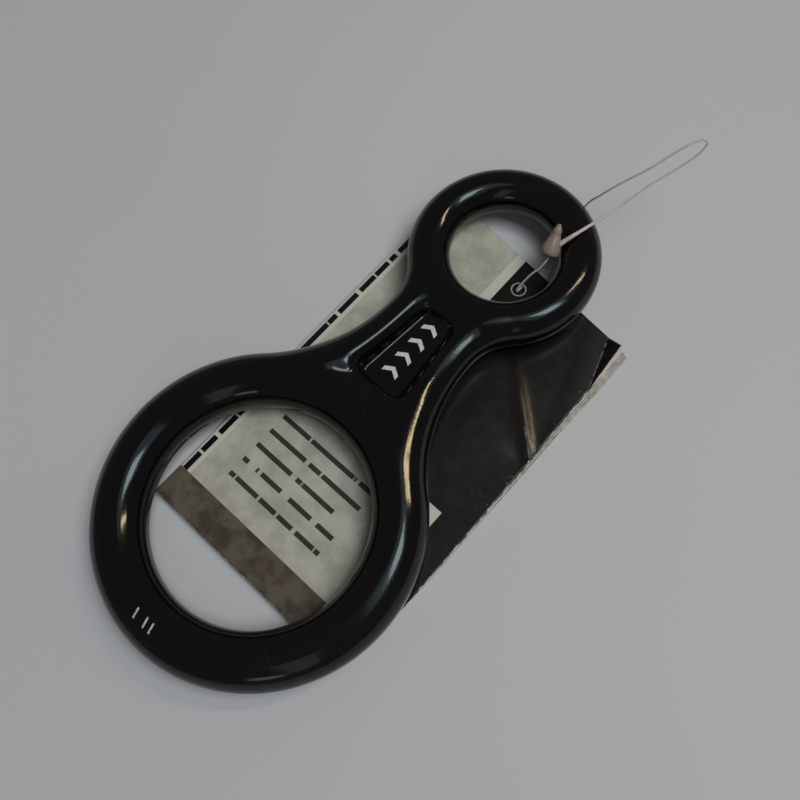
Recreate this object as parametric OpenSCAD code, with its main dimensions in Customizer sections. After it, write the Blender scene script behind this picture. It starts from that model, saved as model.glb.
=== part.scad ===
// Figure-eight belay device with a folded leaflet tied to its small eye by a nylon loop.
// Millimetres. The origin is the centre of the big eye, +Y runs along the neck to the small eye
// and +Z points up, away from the surface that the leaflet lies on.

/* [Big eye] */
// Outer diameter of the big ring
big_od = 76.8; // [72:0.2:82]
// Diameter of the big ring's round section
big_section = 13; // [11.6:0.1:14]

/* [Small eye] */
// Outer diameter of the small ring
small_od = 47.6; // [45:0.2:50]
// Diameter of the small ring's round section
small_section = 10.6; // [10.5:0.1:11.4]
// Distance between the centres of the two eyes
eye_spacing = 85.4; // [84:0.2:90]
// Depth of the flat band that trimming leaves inside each eye
trim_depth = 0.1; // [0.05:0.01:0.3]

/* [Neck] */
// Width of the neck at its narrowest place
waist_w = 25.4; // [24:0.2:27]
// Distance from the big eye's centre to the narrowest place
waist_y = 58.5; // [56:0.5:60]
// Diameter of the bead along each side of the neck
bead_d = 9.4; // [9.2:0.1:10.4]
// Thickness of the web between the two beads
web_t = 9; // [8:0.1:9.1]
// Thickness of the floor between the two recessed panels
floor_t = 3; // [2:0.1:5]
// Width of the panel's floor at the big eye's end
panel_big_w = 11; // [9:0.2:12]
// Width of the panel's floor at the small eye's end
panel_small_w = 7.4; // [6:0.2:8]
// Distance from the big eye's centre to the near end of the panel's floor
panel_y = 40; // [39.4:0.2:42]
// Length of the panel's floor
panel_l = 21; // [16:0.2:22]
// Radius of the floor's corners
panel_r = 1.6; // [1:0.1:2.4]
// Width of the panel's rim at the big eye's end, to which the walls lean out
rim_w = 14.8; // [12:0.2:16]
// Length of the panel's rim
rim_l = 24.8; // [22:0.2:26]

/* [Loop fastener] */
// Diameter of the filament
filament_d = 0.5; // [0.4:0.02:0.54]
// Diameter of the strap where it leaves the socket
strap_d = 1.4; // [0.8:0.1:1.6]
// Largest diameter of the drop-shaped socket
socket_d = 4.8; // [4:0.1:5]
// Height of the socket along its axis
socket_h = 5.4; // [4.6:0.1:6]
// Diameter of the socket's bore
socket_bore = 1.6; // [1.2:0.1:1.8]
// How far the barbed tip stands out of the socket
tip_reach = 2.4; // [1.8:0.1:3]

/* [Leaflet] */
// Width of the front leaf, from the fold to the free edge
leaf_w = 60.8; // [54:0.2:64]
// Length of the leaflet along its fold
leaf_l = 106.8; // [100:0.2:112]
// How much shorter the leaflet is at its free edge than at its fold
leaf_slant = 7; // [0:0.5:8]
// Thickness of a cover leaf
cover_t = 0.25; // [0.2:0.01:0.28]
// Thickness of an inner leaf
inner_t = 0.2; // [0.12:0.01:0.22]
// Diameter of the punched hole
punch_d = 3.2; // [3:0.1:4]

/* [Hidden] */
$fn = 96;

// Colours of the pieces
anodised_black = [0.07, 0.07, 0.08];
nylon_white = [0.88, 0.85, 0.82];
print_grey = [0.32, 0.31, 0.30];
paper_white = [0.90, 0.89, 0.85];

// Derived sizes of the forging
big_r = big_od / 2;
small_r = small_od / 2;
big_track = big_r - big_section / 2;
small_track = small_r - small_section / 2;
waist_r = waist_w / 2;
bead_r = bead_d / 2;
// The side arcs run this far into the rings, so that they cross instead of only touching
arc_sink = 0.15;
through_h = 40;

// Height of the leaflet's leaves below the mid-plane
rest_gap = 0.15;
thread_gap = 0.8;
leaf_gap = 0.15;
front_top = -big_section / 2 - rest_gap;
inner_a_top = front_top - cover_t - thread_gap;
inner_b_top = inner_a_top - inner_t - leaf_gap;
back_top = inner_b_top - inner_t - leaf_gap;
table_z = back_top - cover_t;

// Place of the leaflet and of its punched hole in plan
fold_x = -24.1;
leaf_y = -12.8;
punch_x = 6.9;
punch_y = 83.5;
// The leaves step out a little past each other along the free edge
leaf_step = 0.5;
inner_fold_inset = 1.2;
spine_r = (front_top - table_z) / 2;
// The cover's two leaves part along this thin seam in the middle of the spine
seam_t = 0.04;

// Place of the lock: the foot of its axis, its lean from upright and its turn about upright
lock_foot = [9.03, 91.1, 2.51];
lock_lean = 56;
lock_turn = 108;
tip_clearance = 0.05;
// Profiles of the socket and of the tip's barb, as [height, radius] in shares of the full ones
socket_profile = [[0, 0.7], [0.07, 0.92], [0.25, 1], [0.5, 0.88], [0.77, 0.67], [1, 0.53]];
barb_profile = [[0, 1], [0.4, 0.92], [0.85, 0.5], [1, 0.26]];
profile_steps = 3;
// How far the barb stands out past its shank, and how high the shank's foot is in the socket
barb_step = 0.4;
shank_foot = 1.4;

// Route of the filament, from the strap's root in the socket round to the foot of the tip
loop_route = [
    [9.41, 93.58, 3.92], [10.29, 95.5, 5.19], [11.35, 97.95, 6.17], [13.12, 104.17, 6.29],
    [15.04, 110.07, 7.26], [17.6, 117, 10.5], [20.8, 123, 14], [22.6, 126.6, 16.8],
    [22.8, 128.7, 18.6], [21.2, 128, 19.2], [18.8, 124.2, 17.4], [15.6, 118.8, 13.4],
    [11.6, 114, 8.8], [8.89, 111.47, 4.54], [6.7, 110.19, 0.21], [6, 108.05, -4.15],
    [6.25, 104.3, -6.62], [6.6, 100.4, -7.3], [6.9, 94.75, -7.3], [6.9, 88.7, -7.3],
    [6.9, 84.7, -7.3], [6.9, 82.9, -6.7], [6.9, 82.7, -5.7], [7.12, 84.05, -4.3],
    [7.86, 86.48, -2.03], [8.91, 88.44, 0], [9.32, 90.21, 1.74], [8.94, 91.49, 2.77]
];
route_steps = 3;
tube_sides = 8;
// The strap tapers to the plain filament over this many route points
taper_points = 4;

// Radius of an arc that leaves a ring of radius r and stands upright at the waist, dy away
function side_arc(r, dy) = (dy * dy / (r - waist_r) - (r + waist_r)) / 2;
// Angle between the waist and the place where such an arc meets its ring
function side_sweep(arc, dy) = atan2(dy, waist_r + arc);

// One point of a smooth curve through b and c, with a and d as their neighbours
function spline(a, b, c, d, t) =
    0.5 * (2 * b + (c - a) * t + (2 * a - 5 * b + 4 * c - d) * t * t + (3 * b - a - 3 * c + d) * t * t * t);
function clamped(list, i) = list[max(0, min(len(list) - 1, i))];
function smooth_route(route, steps) = [
    for (i = [0 : len(route) - 2], k = [0 : steps - 1])
        spline(clamped(route, i - 1), route[i], route[i + 1], clamped(route, i + 2), k / steps),
    route[len(route) - 1]
];
function unit(v) = v / norm(v);
function heading(path, i) = unit(clamped(path, i + 1) - clamped(path, i - 1));
function square_to(v, axis) = unit(v - (v * axis) * axis);
// A side direction carried along the path without twist
function carried_sides(path) = [
    for (i = 0, side = square_to([1, 0, 0], heading(path, 0));
         i < len(path);
         i = i + 1, side = square_to(side, heading(path, i))) side
];
function tube_ring(path, sides, i, r) =
    let (ahead = heading(path, i), over = cross(ahead, sides[i]))
    [for (k = [0 : tube_sides - 1])
        path[i] + r * (cos(360 * k / tube_sides) * sides[i] + sin(360 * k / tube_sides) * over)];
function route_length(path) =
    [for (i = [1 : len(path) - 1]) norm(path[i] - path[i - 1])] * [for (i = [1 : len(path) - 1]) 1];

// Tube along a path, with one radius for each point of it
module tube(path, radii) {
    sides = carried_sides(path);
    last = len(path) - 1;
    points = [for (i = [0 : last]) each tube_ring(path, sides, i, radii[i])];
    walls = [
        for (i = [0 : last - 1], k = [0 : tube_sides - 1])
            let (a = i * tube_sides + k, b = i * tube_sides + (k + 1) % tube_sides)
            each [[a, a + tube_sides, b], [b, a + tube_sides, b + tube_sides]]
    ];
    root = [for (k = [0 : tube_sides - 1]) k];
    end = [for (k = [tube_sides - 1 : -1 : 0]) last * tube_sides + k];
    polyhedron(points, concat(walls, [root, end]));
}

module ring(track, section) {
    rotate_extrude()
        translate([track, 0])
            circle(d = section);
}

// One side of the neck from the waist down to a ring: a bead with the web behind it
module side_arm(arc, sweep, reach) {
    translate([waist_r + arc, 0, 0])
        rotate(180)
            rotate_extrude(angle = sweep) {
                translate([arc + bead_r, 0])
                    circle(r = bead_r);
                translate([arc + bead_r, -web_t / 2])
                    square([reach, web_t]);
            }
}

module half_neck() {
    small_dy = eye_spacing - waist_y;
    big_arc = side_arc(big_r - arc_sink, waist_y);
    small_arc = side_arc(small_r - arc_sink, small_dy);
    intersection() {
        translate([0, waist_y, 0]) {
            side_arm(big_arc, side_sweep(big_arc, waist_y), big_r);
            mirror([0, 1, 0])
                side_arm(small_arc, side_sweep(small_arc, small_dy), small_r);
        }
        translate([0, 0, -through_h / 2])
            cube([big_r, eye_spacing, through_h]);
    }
}

module neck() {
    difference() {
        union() {
            half_neck();
            mirror([1, 0, 0])
                half_neck();
        }
        cylinder(r = big_track, h = through_h, center = true);
        translate([0, eye_spacing, 0])
            cylinder(r = small_track, h = through_h, center = true);
    }
}

// Outline of the panel's floor: a tapered bar with round corners
module panel_outline() {
    lean = atan((panel_big_w - panel_small_w) / 2 / panel_l);
    near_x = panel_big_w / 2 - panel_r;
    far_x = panel_small_w / 2 - panel_r;
    near_y = panel_y + panel_r;
    far_y = panel_y + panel_l - panel_r;
    shoulder = panel_r * [cos(lean), sin(lean)];
    right_side = [
        [near_x, near_y - panel_r], [near_x, near_y] + shoulder,
        [far_x, far_y] + shoulder, [far_x, far_y + panel_r]
    ];
    left_side = [for (i = [len(right_side) - 1 : -1 : 0]) [-right_side[i].x, right_side[i].y]];
    polygon(concat(right_side, left_side));
    for (side = [-1, 1]) {
        translate([side * near_x, near_y])
            circle(r = panel_r);
        translate([side * far_x, far_y])
            circle(r = panel_r);
    }
}

// The recess above one panel: its walls lean out from the floor to the rim on the web
module panel_recess() {
    middle = [0, panel_y + panel_l / 2];
    recess_h = big_section / 2;
    rise = recess_h / (web_t / 2 - floor_t / 2);
    spread = [rim_w / panel_big_w - 1, rim_l / panel_l - 1];
    translate([middle.x, middle.y, floor_t / 2])
        linear_extrude(recess_h, scale = [1, 1] + rise * spread, slices = 1, $fn = 32)
            translate(-middle)
                panel_outline();
}

module descender_body() {
    color(anodised_black)
        difference() {
            union() {
                ring(big_track, big_section);
                translate([0, eye_spacing, 0])
                    ring(small_track, small_section);
                neck();
            }
            cylinder(r = big_r - big_section + trim_depth, h = through_h, center = true);
            translate([0, eye_spacing, 0])
                cylinder(r = small_r - small_section + trim_depth, h = through_h, center = true);
            for (face = [0, 1])
                mirror([0, 0, face])
                    panel_recess();
        }
}

module loop_filament() {
    path = smooth_route(loop_route, route_steps);
    taper = taper_points * route_steps;
    radii = [for (i = [0 : len(path) - 1])
        filament_d / 2 + (strap_d - filament_d) / 2 * max(0, 1 - i / taper)];
    echo(filament_length = route_length(path));
    color(nylon_white)
        tube(path, radii);
}

// Turns a lock piece from upright into its place
module at_lock() {
    translate(lock_foot)
        rotate([0, lock_lean, lock_turn])
            children();
}

// Outer points of a turned shape, from its profile, its height and its largest radius
function turned_points(profile, h, r) = [
    for (p = smooth_route(profile, profile_steps)) [r * p[1], h * p[0]]
];

module lock_socket() {
    bore_r = socket_bore / 2;
    outside = turned_points(socket_profile, socket_h, socket_d / 2);
    color(nylon_white)
        at_lock()
            rotate_extrude()
                polygon(concat([[bore_r, 0]], outside, [[bore_r, socket_h]]));
}

module lock_tip() {
    shank_r = socket_bore / 2 - tip_clearance;
    barb_z = socket_h + tip_clearance;
    barb = [
        for (p = turned_points(barb_profile, tip_reach, shank_r + barb_step)) p + [0, barb_z]
    ];
    color(nylon_white)
        at_lock()
            rotate_extrude()
                polygon(concat(
                    [[0, shank_foot], [shank_r, shank_foot], [shank_r, barb_z]],
                    barb, [[0, barb_z + tip_reach]]
                ));
}

// Flat leaf from x0 to x1, cut along the leaflet's slanted head
module leaf(x0, x1, top, t) {
    head = leaf_y + leaf_l;
    function head_y(x) = head - leaf_slant * (x - fold_x) / leaf_w;
    translate([0, 0, top - t])
        linear_extrude(t)
            polygon([[x0, leaf_y], [x1, leaf_y], [x1, head_y(x1)], [x0, head_y(x0)]]);
}

// Quarter of the cover's round spine, above the seam (side 1) or below it (side -1)
module spine_half(side) {
    quarter = 2 * spine_r;
    translate([fold_x, leaf_y, table_z + spine_r])
        rotate([90, 0, 0])
            mirror([0, 0, 1])
                linear_extrude(leaf_l)
                    intersection() {
                        difference() {
                            circle(r = spine_r);
                            circle(r = spine_r - cover_t);
                        }
                        translate([-quarter, side > 0 ? seam_t / 2 : -quarter - seam_t / 2])
                            square(quarter);
                    }
}

module leaflet_front() {
    color(print_grey)
        difference() {
            union() {
                leaf(fold_x, fold_x + leaf_w, front_top, cover_t);
                spine_half(1);
            }
            translate([punch_x, punch_y, front_top])
                cylinder(d = punch_d, h = 4 * cover_t, center = true);
        }
}

module leaflet_inner_a() {
    color(paper_white)
        leaf(fold_x + inner_fold_inset, fold_x + leaf_w + leaf_step, inner_a_top, inner_t);
}

module leaflet_inner_b() {
    color(paper_white)
        leaf(fold_x + inner_fold_inset, fold_x + leaf_w + 2 * leaf_step, inner_b_top, inner_t);
}

module leaflet_back() {
    color(paper_white) {
        leaf(fold_x, fold_x + leaf_w + 3 * leaf_step, back_top, cover_t);
        spine_half(-1);
    }
}

descender_body();
loop_filament();
lock_socket();
lock_tip();
leaflet_front();
leaflet_inner_a();
leaflet_inner_b();
leaflet_back();
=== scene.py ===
"""Looks of a forged figure-eight belay device and of the folded leaflet tied to its small eye."""

import logging
import math
from collections.abc import Sequence
from dataclasses import dataclass
from enum import Enum
from functools import partial, reduce

import bmesh
import bpy
import numpy as np
from mathutils import Matrix, Quaternion, Vector, noise


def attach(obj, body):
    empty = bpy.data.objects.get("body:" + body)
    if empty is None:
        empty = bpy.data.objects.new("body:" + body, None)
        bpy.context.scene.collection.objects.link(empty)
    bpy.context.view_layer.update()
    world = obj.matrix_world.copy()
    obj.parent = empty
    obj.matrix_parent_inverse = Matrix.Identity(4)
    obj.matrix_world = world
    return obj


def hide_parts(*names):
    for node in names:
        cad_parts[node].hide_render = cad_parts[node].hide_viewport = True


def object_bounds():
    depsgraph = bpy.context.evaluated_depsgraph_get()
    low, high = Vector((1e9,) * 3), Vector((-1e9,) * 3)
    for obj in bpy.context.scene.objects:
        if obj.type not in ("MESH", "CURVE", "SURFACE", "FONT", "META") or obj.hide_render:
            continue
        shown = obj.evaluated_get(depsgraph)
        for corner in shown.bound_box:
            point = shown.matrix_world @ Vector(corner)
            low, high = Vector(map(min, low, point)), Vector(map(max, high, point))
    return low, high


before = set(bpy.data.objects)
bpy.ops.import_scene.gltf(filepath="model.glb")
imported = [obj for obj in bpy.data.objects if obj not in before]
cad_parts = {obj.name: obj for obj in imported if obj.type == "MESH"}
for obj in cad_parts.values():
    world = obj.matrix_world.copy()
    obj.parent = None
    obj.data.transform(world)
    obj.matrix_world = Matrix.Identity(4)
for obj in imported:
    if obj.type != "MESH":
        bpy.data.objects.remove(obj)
CAD_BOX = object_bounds()

MM = 0.001
LOG = logging.getLogger("belay_device")
SPREAD = (0.3, 0.7)  # the values that fractal noise mostly has

Colour = tuple[float, float, float]
Point = tuple[float, float, float]
Span = tuple[float, float]
Profile = tuple[Span, ...]
Line = tuple[Span, Span]
Socket = bpy.types.NodeSocket
Material = bpy.types.Material
Mesh = bpy.types.Mesh
Object = bpy.types.Object
Form = bmesh.types.BMesh
Vert = bmesh.types.BMVert


class Slot(Enum):
    """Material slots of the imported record."""

    ALUMINIUM = "anodised_aluminium"
    NYLON = "nylon"
    COVER = "printed_cover"
    PAPER = "inner_paper"


def linked(name: str, data: bpy.types.ID) -> Object:
    """Links a new object to the scene."""
    made = bpy.data.objects.new(name, data)
    bpy.context.scene.collection.objects.link(made)
    return made


def new_piece(name: str, form: Form, finishes: Sequence[Material]) -> Object:
    """Turns a bmesh into a smooth-shaded object at the origin and frees it.

    Args:
        name: The object's and the mesh's name.
        form: The bmesh, already in place.
        finishes: The materials of the object's slots, in order.

    Returns:
        The new object.
    """
    mesh = bpy.data.meshes.new(name)
    form.to_mesh(mesh)
    form.free()
    mesh.shade_smooth()
    for finish in finishes:
        mesh.materials.append(finish)
    return linked(name, mesh)


def apply_modifier(piece: Object, kind: str, **settings: object) -> None:
    """Replaces a piece's mesh by the mesh that a modifier makes of it.

    Args:
        piece: The object.
        kind: The modifier's type.
        **settings: Its properties.
    """
    modifier = piece.modifiers.new(kind.lower(), kind)
    for key, value in settings.items():
        setattr(modifier, key, value)
    graph = bpy.context.evaluated_depsgraph_get()
    finished = bpy.data.meshes.new_from_object(piece.evaluated_get(graph))
    piece.modifiers.clear()
    piece.data = finished


def vertex_array(mesh: Mesh) -> np.ndarray:
    """Returns a mesh's vertex places as an array of rows."""
    places = np.empty(len(mesh.vertices) * 3)
    mesh.vertices.foreach_get("co", places)
    return places.reshape(-1, 3)


def smooth_least(a: np.ndarray, b: np.ndarray, reach: float | np.ndarray) -> np.ndarray:
    """Least of two distances, with a round valley where they are within reach of each other."""
    near = np.maximum(reach - np.abs(a - b), 0.0) / reach
    return np.minimum(a, b) - near * near * reach / 4


def smooth_most(a: np.ndarray, b: np.ndarray, reach: float) -> np.ndarray:
    """Greatest of two distances, with a round edge where they are within reach of each other."""
    return -smooth_least(-a, -b, reach)


def ease(value: float, start: float, end: float) -> float:
    """Smooth step from 0 at start to 1 at end."""
    t = min(1.0, max(0.0, (value - start) / (end - start)))
    return t * t * (3 - 2 * t)


def eased(values: np.ndarray) -> np.ndarray:
    """Smooth steps from 0 to 1 of an array's values."""
    part = np.clip(values, 0.0, 1.0)
    return part * part * (3 - 2 * part)


def curve_points(profile: Profile, steps: int) -> list[Vector]:
    """Points of a smooth curve through a profile's own points.

    Args:
        profile: Points of the profile.
        steps: Steps between two of them.

    Returns:
        The points, ends included.
    """
    given = [Vector(p) for p in profile]
    last = len(given) - 1
    points = []
    for i in range(last):
        a, b, c, d = (given[min(last, max(0, i + k))] for k in (-1, 0, 1, 2))
        for k in range(steps):
            t = k / steps
            bend, twist = 2 * a - 5 * b + 4 * c - d, 3 * b - a - 3 * c + d
            points.append(0.5 * (2 * b + (c - a) * t + bend * t**2 + twist * t**3))
    return points + [given[last]]


class Tree:
    """A material's nodes, with short calls for those that the finishes share."""

    bar_soft = 0.06
    bar_stretch = 0.34
    row_seed = 5.7
    gap_level = 0.42

    def __init__(self, name: str) -> None:
        """Starts a material with a plain shader.

        Args:
            name: The material's name.
        """
        self.material = bpy.data.materials.new(name)
        self.material.use_nodes = True
        self.nodes = self.material.node_tree.nodes
        self.links = self.material.node_tree.links
        self.shader = self.nodes["Principled BSDF"]

    def feed(self, socket: Socket, value: object) -> None:
        """Links a socket to another one, or sets its value."""
        if isinstance(value, Socket):
            self.links.new(value, socket)
        elif socket.type == "RGBA":
            socket.default_value = (*value, 1.0)
        else:
            socket.default_value = value

    def node(self, kind: str, inputs: dict[object, object], **settings: object) -> bpy.types.Node:
        """Adds a node.

        Args:
            kind: The node's type, without its common beginning.
            inputs: What its input sockets are fed with, by name or number.
            **settings: Its properties.

        Returns:
            The node.
        """
        made = self.nodes.new("ShaderNode" + kind)
        for key, value in settings.items():
            setattr(made, key, value)
        for key, value in inputs.items():
            self.feed(made.inputs[key], value)
        return made

    def surface(self, **values: object) -> None:
        """Feeds the shader's sockets, whose names have spaces for underscores."""
        for key, value in values.items():
            self.feed(self.shader.inputs[key.replace("_", " ")], value)

    def place(self, turn: float = 0.0, scale: Point = (1.0, 1.0, 1.0)) -> Socket:
        """Object coordinates in millimetres, turned about the upright axis and then scaled.

        Args:
            turn: Turn in degrees.
            scale: Scale along each axis.

        Returns:
            The coordinate socket.
        """
        where = self.node("TexCoord", {}).outputs["Object"]
        turned = self.node("Mapping", {"Vector": where, "Rotation": (0.0, 0.0, math.radians(turn))})
        stretch = tuple(s / MM for s in scale)
        return self.node("Mapping", {"Vector": turned.outputs[0], "Scale": stretch}).outputs[0]

    def split(self, vector: Socket) -> tuple[Socket, Socket, Socket]:
        """Returns the three parts of a vector."""
        parts = self.node("SeparateXYZ", {0: vector}).outputs
        return parts[0], parts[1], parts[2]

    def calc(self, kind: str, a: object, b: object = 0.0) -> Socket:
        """Result of a math node of the given kind."""
        return self.node("Math", {0: a, 1: b}, operation=kind).outputs[0]

    def plus(self, a: object, b: object) -> Socket:
        """Sum of two numbers or sockets."""
        return self.calc("ADD", a, b)

    def minus(self, a: object, b: object) -> Socket:
        """Difference of two numbers or sockets."""
        return self.calc("SUBTRACT", a, b)

    def times(self, a: object, b: object) -> Socket:
        """Product of two numbers or sockets."""
        return self.calc("MULTIPLY", a, b)

    def step(self, value: Socket, start: float, end: float, low: float = 0.0, high: float = 1.0) -> Socket:
        """Smooth step of a value from low at start to high at end."""
        fed = {"Value": value, "From Min": start, "From Max": end, "To Min": low, "To Max": high}
        return self.node("MapRange", fed, interpolation_type="SMOOTHSTEP").outputs[0]

    def past(self, value: Socket, edge: float, soft: float = 0.1) -> Socket:
        """Mask that is 1 where a value is past an edge."""
        return self.step(value, edge - soft, edge + soft)

    def short(self, value: Socket, edge: float, soft: float = 0.1) -> Socket:
        """Mask that is 1 where a value is short of an edge."""
        return self.step(value, edge - soft, edge + soft, 1.0, 0.0)

    def within(self, value: Socket, low: float, high: float, soft: float = 0.1) -> Socket:
        """Mask that is 1 where a value is between two bounds."""
        return self.times(self.past(value, low, soft), self.short(value, high, soft))

    def both(self, *masks: Socket) -> Socket:
        """Product of masks."""
        return reduce(self.times, masks)

    def either(self, *masks: Socket) -> Socket:
        """Greatest of masks."""
        return reduce(partial(self.calc, "MAXIMUM"), masks)

    def area(self, x: Socket, y: Socket, spans: Line) -> Socket:
        """Mask of a rectangle, given by its spans across and along the leaf."""
        return self.both(self.within(x, *spans[0]), self.within(y, *spans[1]))

    def grain(self, vector: Socket, scale: float, detail: float = 3.0, rough: float = 0.5) -> Socket:
        """Fractal noise, by its features per millimetre, its finer layers and their share."""
        fed = {"Vector": vector, "Scale": scale, "Detail": detail, "Roughness": rough}
        return self.node("TexNoise", fed).outputs["Fac"]

    def blend(self, share: Socket, under: object, over: object) -> Socket:
        """Colour between two colours, by the second one's share."""
        mixed = self.node("Mix", {0: share, 6: under, 7: over}, data_type="RGBA")
        return mixed.outputs[2]

    def line_space(self, x: Socket, y: Socket, line: Line) -> tuple[Socket, Socket]:
        """Places along a line and across it, to its right.

        Args:
            x: Place across the leaf.
            y: Place along the leaf.
            line: The line's two ends, in metres.

        Returns:
            The place along the line and the place across it.
        """
        start, end = (Vector(place) / MM for place in line)
        way = (end - start).normalized()
        dx, dy = self.minus(x, start.x), self.minus(y, start.y)
        along = self.plus(self.times(dx, way.x), self.times(dy, way.y))
        across = self.minus(self.times(dx, way.y), self.times(dy, way.x))
        return along, across

    def bars(self, along: Socket, across: Socket, pitch: float, half: float) -> Socket:
        """Mask of rows of plain bars of uneven length.

        Args:
            along: Place along the rows.
            across: Place across them.
            pitch: Distance from row to row.
            half: Half a bar's height.

        Returns:
            The mask.
        """
        line = self.calc("DIVIDE", across, pitch)
        number = self.calc("FLOOR", line)
        off = self.calc("ABSOLUTE", self.minus(self.minus(line, number), 0.5))
        seed = {0: self.times(along, self.bar_stretch), 1: self.times(number, self.row_seed)}
        lengths = self.grain(self.node("CombineXYZ", seed).outputs[0], 1.0, 1.0)
        bars = self.short(off, half / pitch, self.bar_soft / pitch)
        return self.times(bars, self.past(lengths, self.gap_level, 0.01))

    def bump(self, height: Socket, strength: float, depth: float) -> Socket:
        """Normal of a bumpy surface; a height of 1 is the given depth, in metres."""
        return self.node("Bump", {"Height": height, "Strength": strength, "Distance": depth}).outputs[0]


@dataclass(frozen=True)
class AnodisedBlack:
    """Gloss black anodising with hairlines, and three pale strokes on the big ring."""

    deep: Colour = (0.0022, 0.0022, 0.0025)
    soft: Colour = (0.0036, 0.0034, 0.0036)
    stroke: Colour = (0.50, 0.44, 0.42)
    bare: Colour = (0.06, 0.06, 0.065)
    stroke_xs: tuple[float, ...] = (-2.6, 0.4, 2.2)
    stroke_y: float = -32.2
    stroke_half: Span = (0.22, 1.15)
    stroke_lean: float = 0.25
    stroke_z: Span = (3.0, 3.4)
    gloss: Span = (0.085, 0.14)

    def make(self) -> Material:
        """Returns the material."""
        t = Tree("anodised_black")
        place = t.place()
        haze = t.grain(place, 0.05, 4.0)
        peel = t.grain(place, 1.4, 2.0)
        pits = t.grain(place, 4.0, 2.0)
        hairs = t.either(
            t.step(t.grain(t.place(25.0, (0.07, 2.6, 0.4)), 1.0, 2.0), 0.71, 0.76),
            t.step(t.grain(t.place(-58.0, (0.05, 2.2, 0.4)), 1.0, 2.0), 0.72, 0.77),
        )
        x, y, z = t.split(place)
        half_w, half_h = self.stroke_half
        lean = t.plus(x, t.times(t.minus(y, self.stroke_y), self.stroke_lean))
        bars = t.either(*(t.within(lean, sx - half_w, sx + half_w, 0.06) for sx in self.stroke_xs))
        high = t.within(y, self.stroke_y - half_h, self.stroke_y + half_h, 0.08)
        flecks = t.step(t.grain(place, 3.0, 2.0), 0.33, 0.46)
        ink = t.both(bars, high, t.step(z, *self.stroke_z), flecks)
        black = t.blend(t.step(haze, 0.35, 0.7), self.deep, self.soft)
        worn = t.blend(t.times(hairs, 0.12), black, self.bare)
        gloss = t.plus(t.step(haze, *SPREAD, *self.gloss), t.times(hairs, 0.08))
        rough = t.plus(gloss, t.times(ink, 0.25))
        relief = t.plus(t.times(peel, 0.7), t.times(pits, 0.3))
        t.surface(Base_Color=t.blend(ink, worn, self.stroke), Roughness=rough, IOR=1.46)
        t.surface(Normal=t.bump(relief, 0.3, 0.03 * MM))
        return t.material


@dataclass(frozen=True)
class WhiteEnamel:
    """Matt white paint in the recess, chipped a little."""

    paint: Colour = (0.60, 0.58, 0.56)
    chip: Colour = (0.16, 0.155, 0.15)
    dull: Colour = (0.50, 0.48, 0.47)
    gloss: Span = (0.42, 0.6)

    def make(self) -> Material:
        """Returns the material."""
        t = Tree("white_enamel")
        place = t.place()
        mottle = t.grain(place, 1.8, 5.0, 0.65)
        chips = t.step(t.grain(place, 3.4, 3.0), 0.62, 0.70)
        tone = t.blend(t.step(mottle, *SPREAD), self.paint, self.dull)
        t.surface(Base_Color=t.blend(chips, tone, self.chip))
        t.surface(Roughness=t.step(mottle, *SPREAD, *self.gloss))
        t.surface(Normal=t.bump(mottle, 0.5, 0.05 * MM))
        return t.material


@dataclass(frozen=True)
class MilkyNylon:
    """Moulded nylon that lets some light through."""

    name: str
    pale: Colour
    shade: Colour
    clear: float
    gloss: Span = (0.26, 0.42)
    bleed: Colour = (1.0, 0.75, 0.6)
    depth: float = 0.9 * MM

    def make(self) -> Material:
        """Returns the material."""
        t = Tree(self.name)
        place = t.place()
        cloud = t.grain(place, 0.5, 4.0)
        skin = t.grain(place, 4.0, 3.0)
        t.surface(Base_Color=t.blend(t.step(cloud, *SPREAD), self.pale, self.shade))
        t.surface(Roughness=t.step(skin, *SPREAD, *self.gloss), IOR=1.53, Transmission_Weight=self.clear)
        t.surface(Subsurface_Weight=0.45, Subsurface_Radius=self.bleed, Subsurface_Scale=self.depth)
        t.surface(Normal=t.bump(skin, 0.4, 0.03 * MM))
        return t.material


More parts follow.
